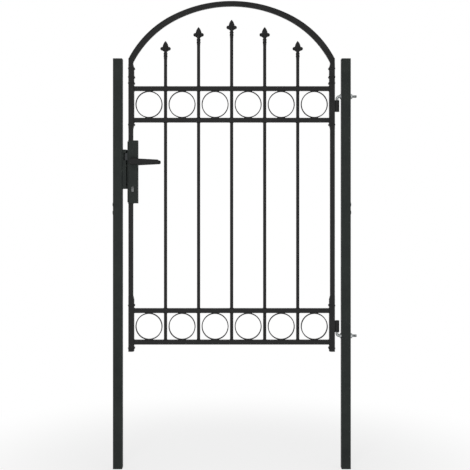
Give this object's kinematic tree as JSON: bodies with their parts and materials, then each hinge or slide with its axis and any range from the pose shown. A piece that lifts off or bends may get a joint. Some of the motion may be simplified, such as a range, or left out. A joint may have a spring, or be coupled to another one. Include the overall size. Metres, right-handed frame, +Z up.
{
  "type": "garden gate",
  "caption": "Arched steel garden gate leaf with spear-topped round bars and ring bands, hung on two square posts, with a lever lock and keeper.",
  "frame": {"origin": "middle of the hinge post's foot, on its flat lower end", "axes": "+X to the right seen from the front, from the latch post towards the hinge post; +Y away from the viewer; +Z up the posts"},
  "size_m": [1.057, 0.1316, 2.0284],
  "materials": {
    "post_coating": "matt fine-textured powder coat, black with a green cast",
    "leaf_coating": "matt fine-textured black powder coat",
    "cap_plastic": "moulded black plastic",
    "zinc": "bright zinc plating",
    "lock_metal": "nickel-plated, satin, dulled outdoors",
    "bolt_metal": "dark passivated steel",
    "lever_coating": "satin black coating"
  },
  "bodies": {
    "posts": {"latch_post": "post_coating", "hinge_post": "post_coating", "latch_post_cap": "cap_plastic", "hinge_post_cap": "cap_plastic", "keeper": "post_coating", "upper_hinge_hook": "zinc", "lower_hinge_hook": "zinc", "upper_hinge_nuts": "zinc", "lower_hinge_nuts": "zinc"},
    "leaf": {"arch": "leaf_coating", "upper_latch_stile": "leaf_coating", "lower_latch_stile": "leaf_coating", "hinge_stile": "leaf_coating", "stile_plugs": "cap_plastic", "top_rail": "leaf_coating", "upper_rail": "leaf_coating", "lower_rail": "leaf_coating", "bottom_rail": "leaf_coating", "bar_1": "leaf_coating", "bar_2": "leaf_coating", "bar_3": "leaf_coating", "bar_4": "leaf_coating", "bar_5": "leaf_coating", "spear_1": "leaf_coating", "spear_2": "leaf_coating", "spear_3": "leaf_coating", "spear_4": "leaf_coating", "spear_5": "leaf_coating", "upper_rings": "leaf_coating", "lower_rings": "leaf_coating", "upper_latch_sleeve": "leaf_coating", "upper_hinge_sleeve": "leaf_coating", "lower_latch_sleeve": "leaf_coating", "lower_hinge_sleeve": "leaf_coating", "upper_hinge_barrel": "leaf_coating", "lower_hinge_barrel": "leaf_coating", "lock_case": "post_coating", "lock_forend": "post_coating", "lock_cylinder": "lock_metal", "deadbolt": "bolt_metal"},
    "lever_set": {"front_lever": "lever_coating", "back_lever": "lever_coating", "lever_spindle": "lock_metal"},
    "latch": {"latch_bolt": "bolt_metal"}
  },
  "joints": [
    {"name": "leaf_swing", "type": "hinge", "parent": "posts", "child": "leaf", "pos_m": [-0.038, 0, 1], "axis": [0, 0, 1], "range_deg": [0, 90]},
    {"name": "lever_turn", "type": "hinge", "parent": "leaf", "child": "lever_set", "pos_m": [-0.9245, 0, 1.3303], "axis": [0, 1, 0], "range_deg": [0, 40], "stiffness_Nm_per_rad": 1.2, "springref_deg": -34.38},
    {"name": "latch_slide", "type": "slide", "parent": "leaf", "child": "latch", "axis": [1, 0, 0], "range_m": [0, 0.011]}
  ],
  "couplings": [
    {"joint": "latch_slide", "follows": "lever_turn", "m_per_rad": 0.01575}
  ]
}
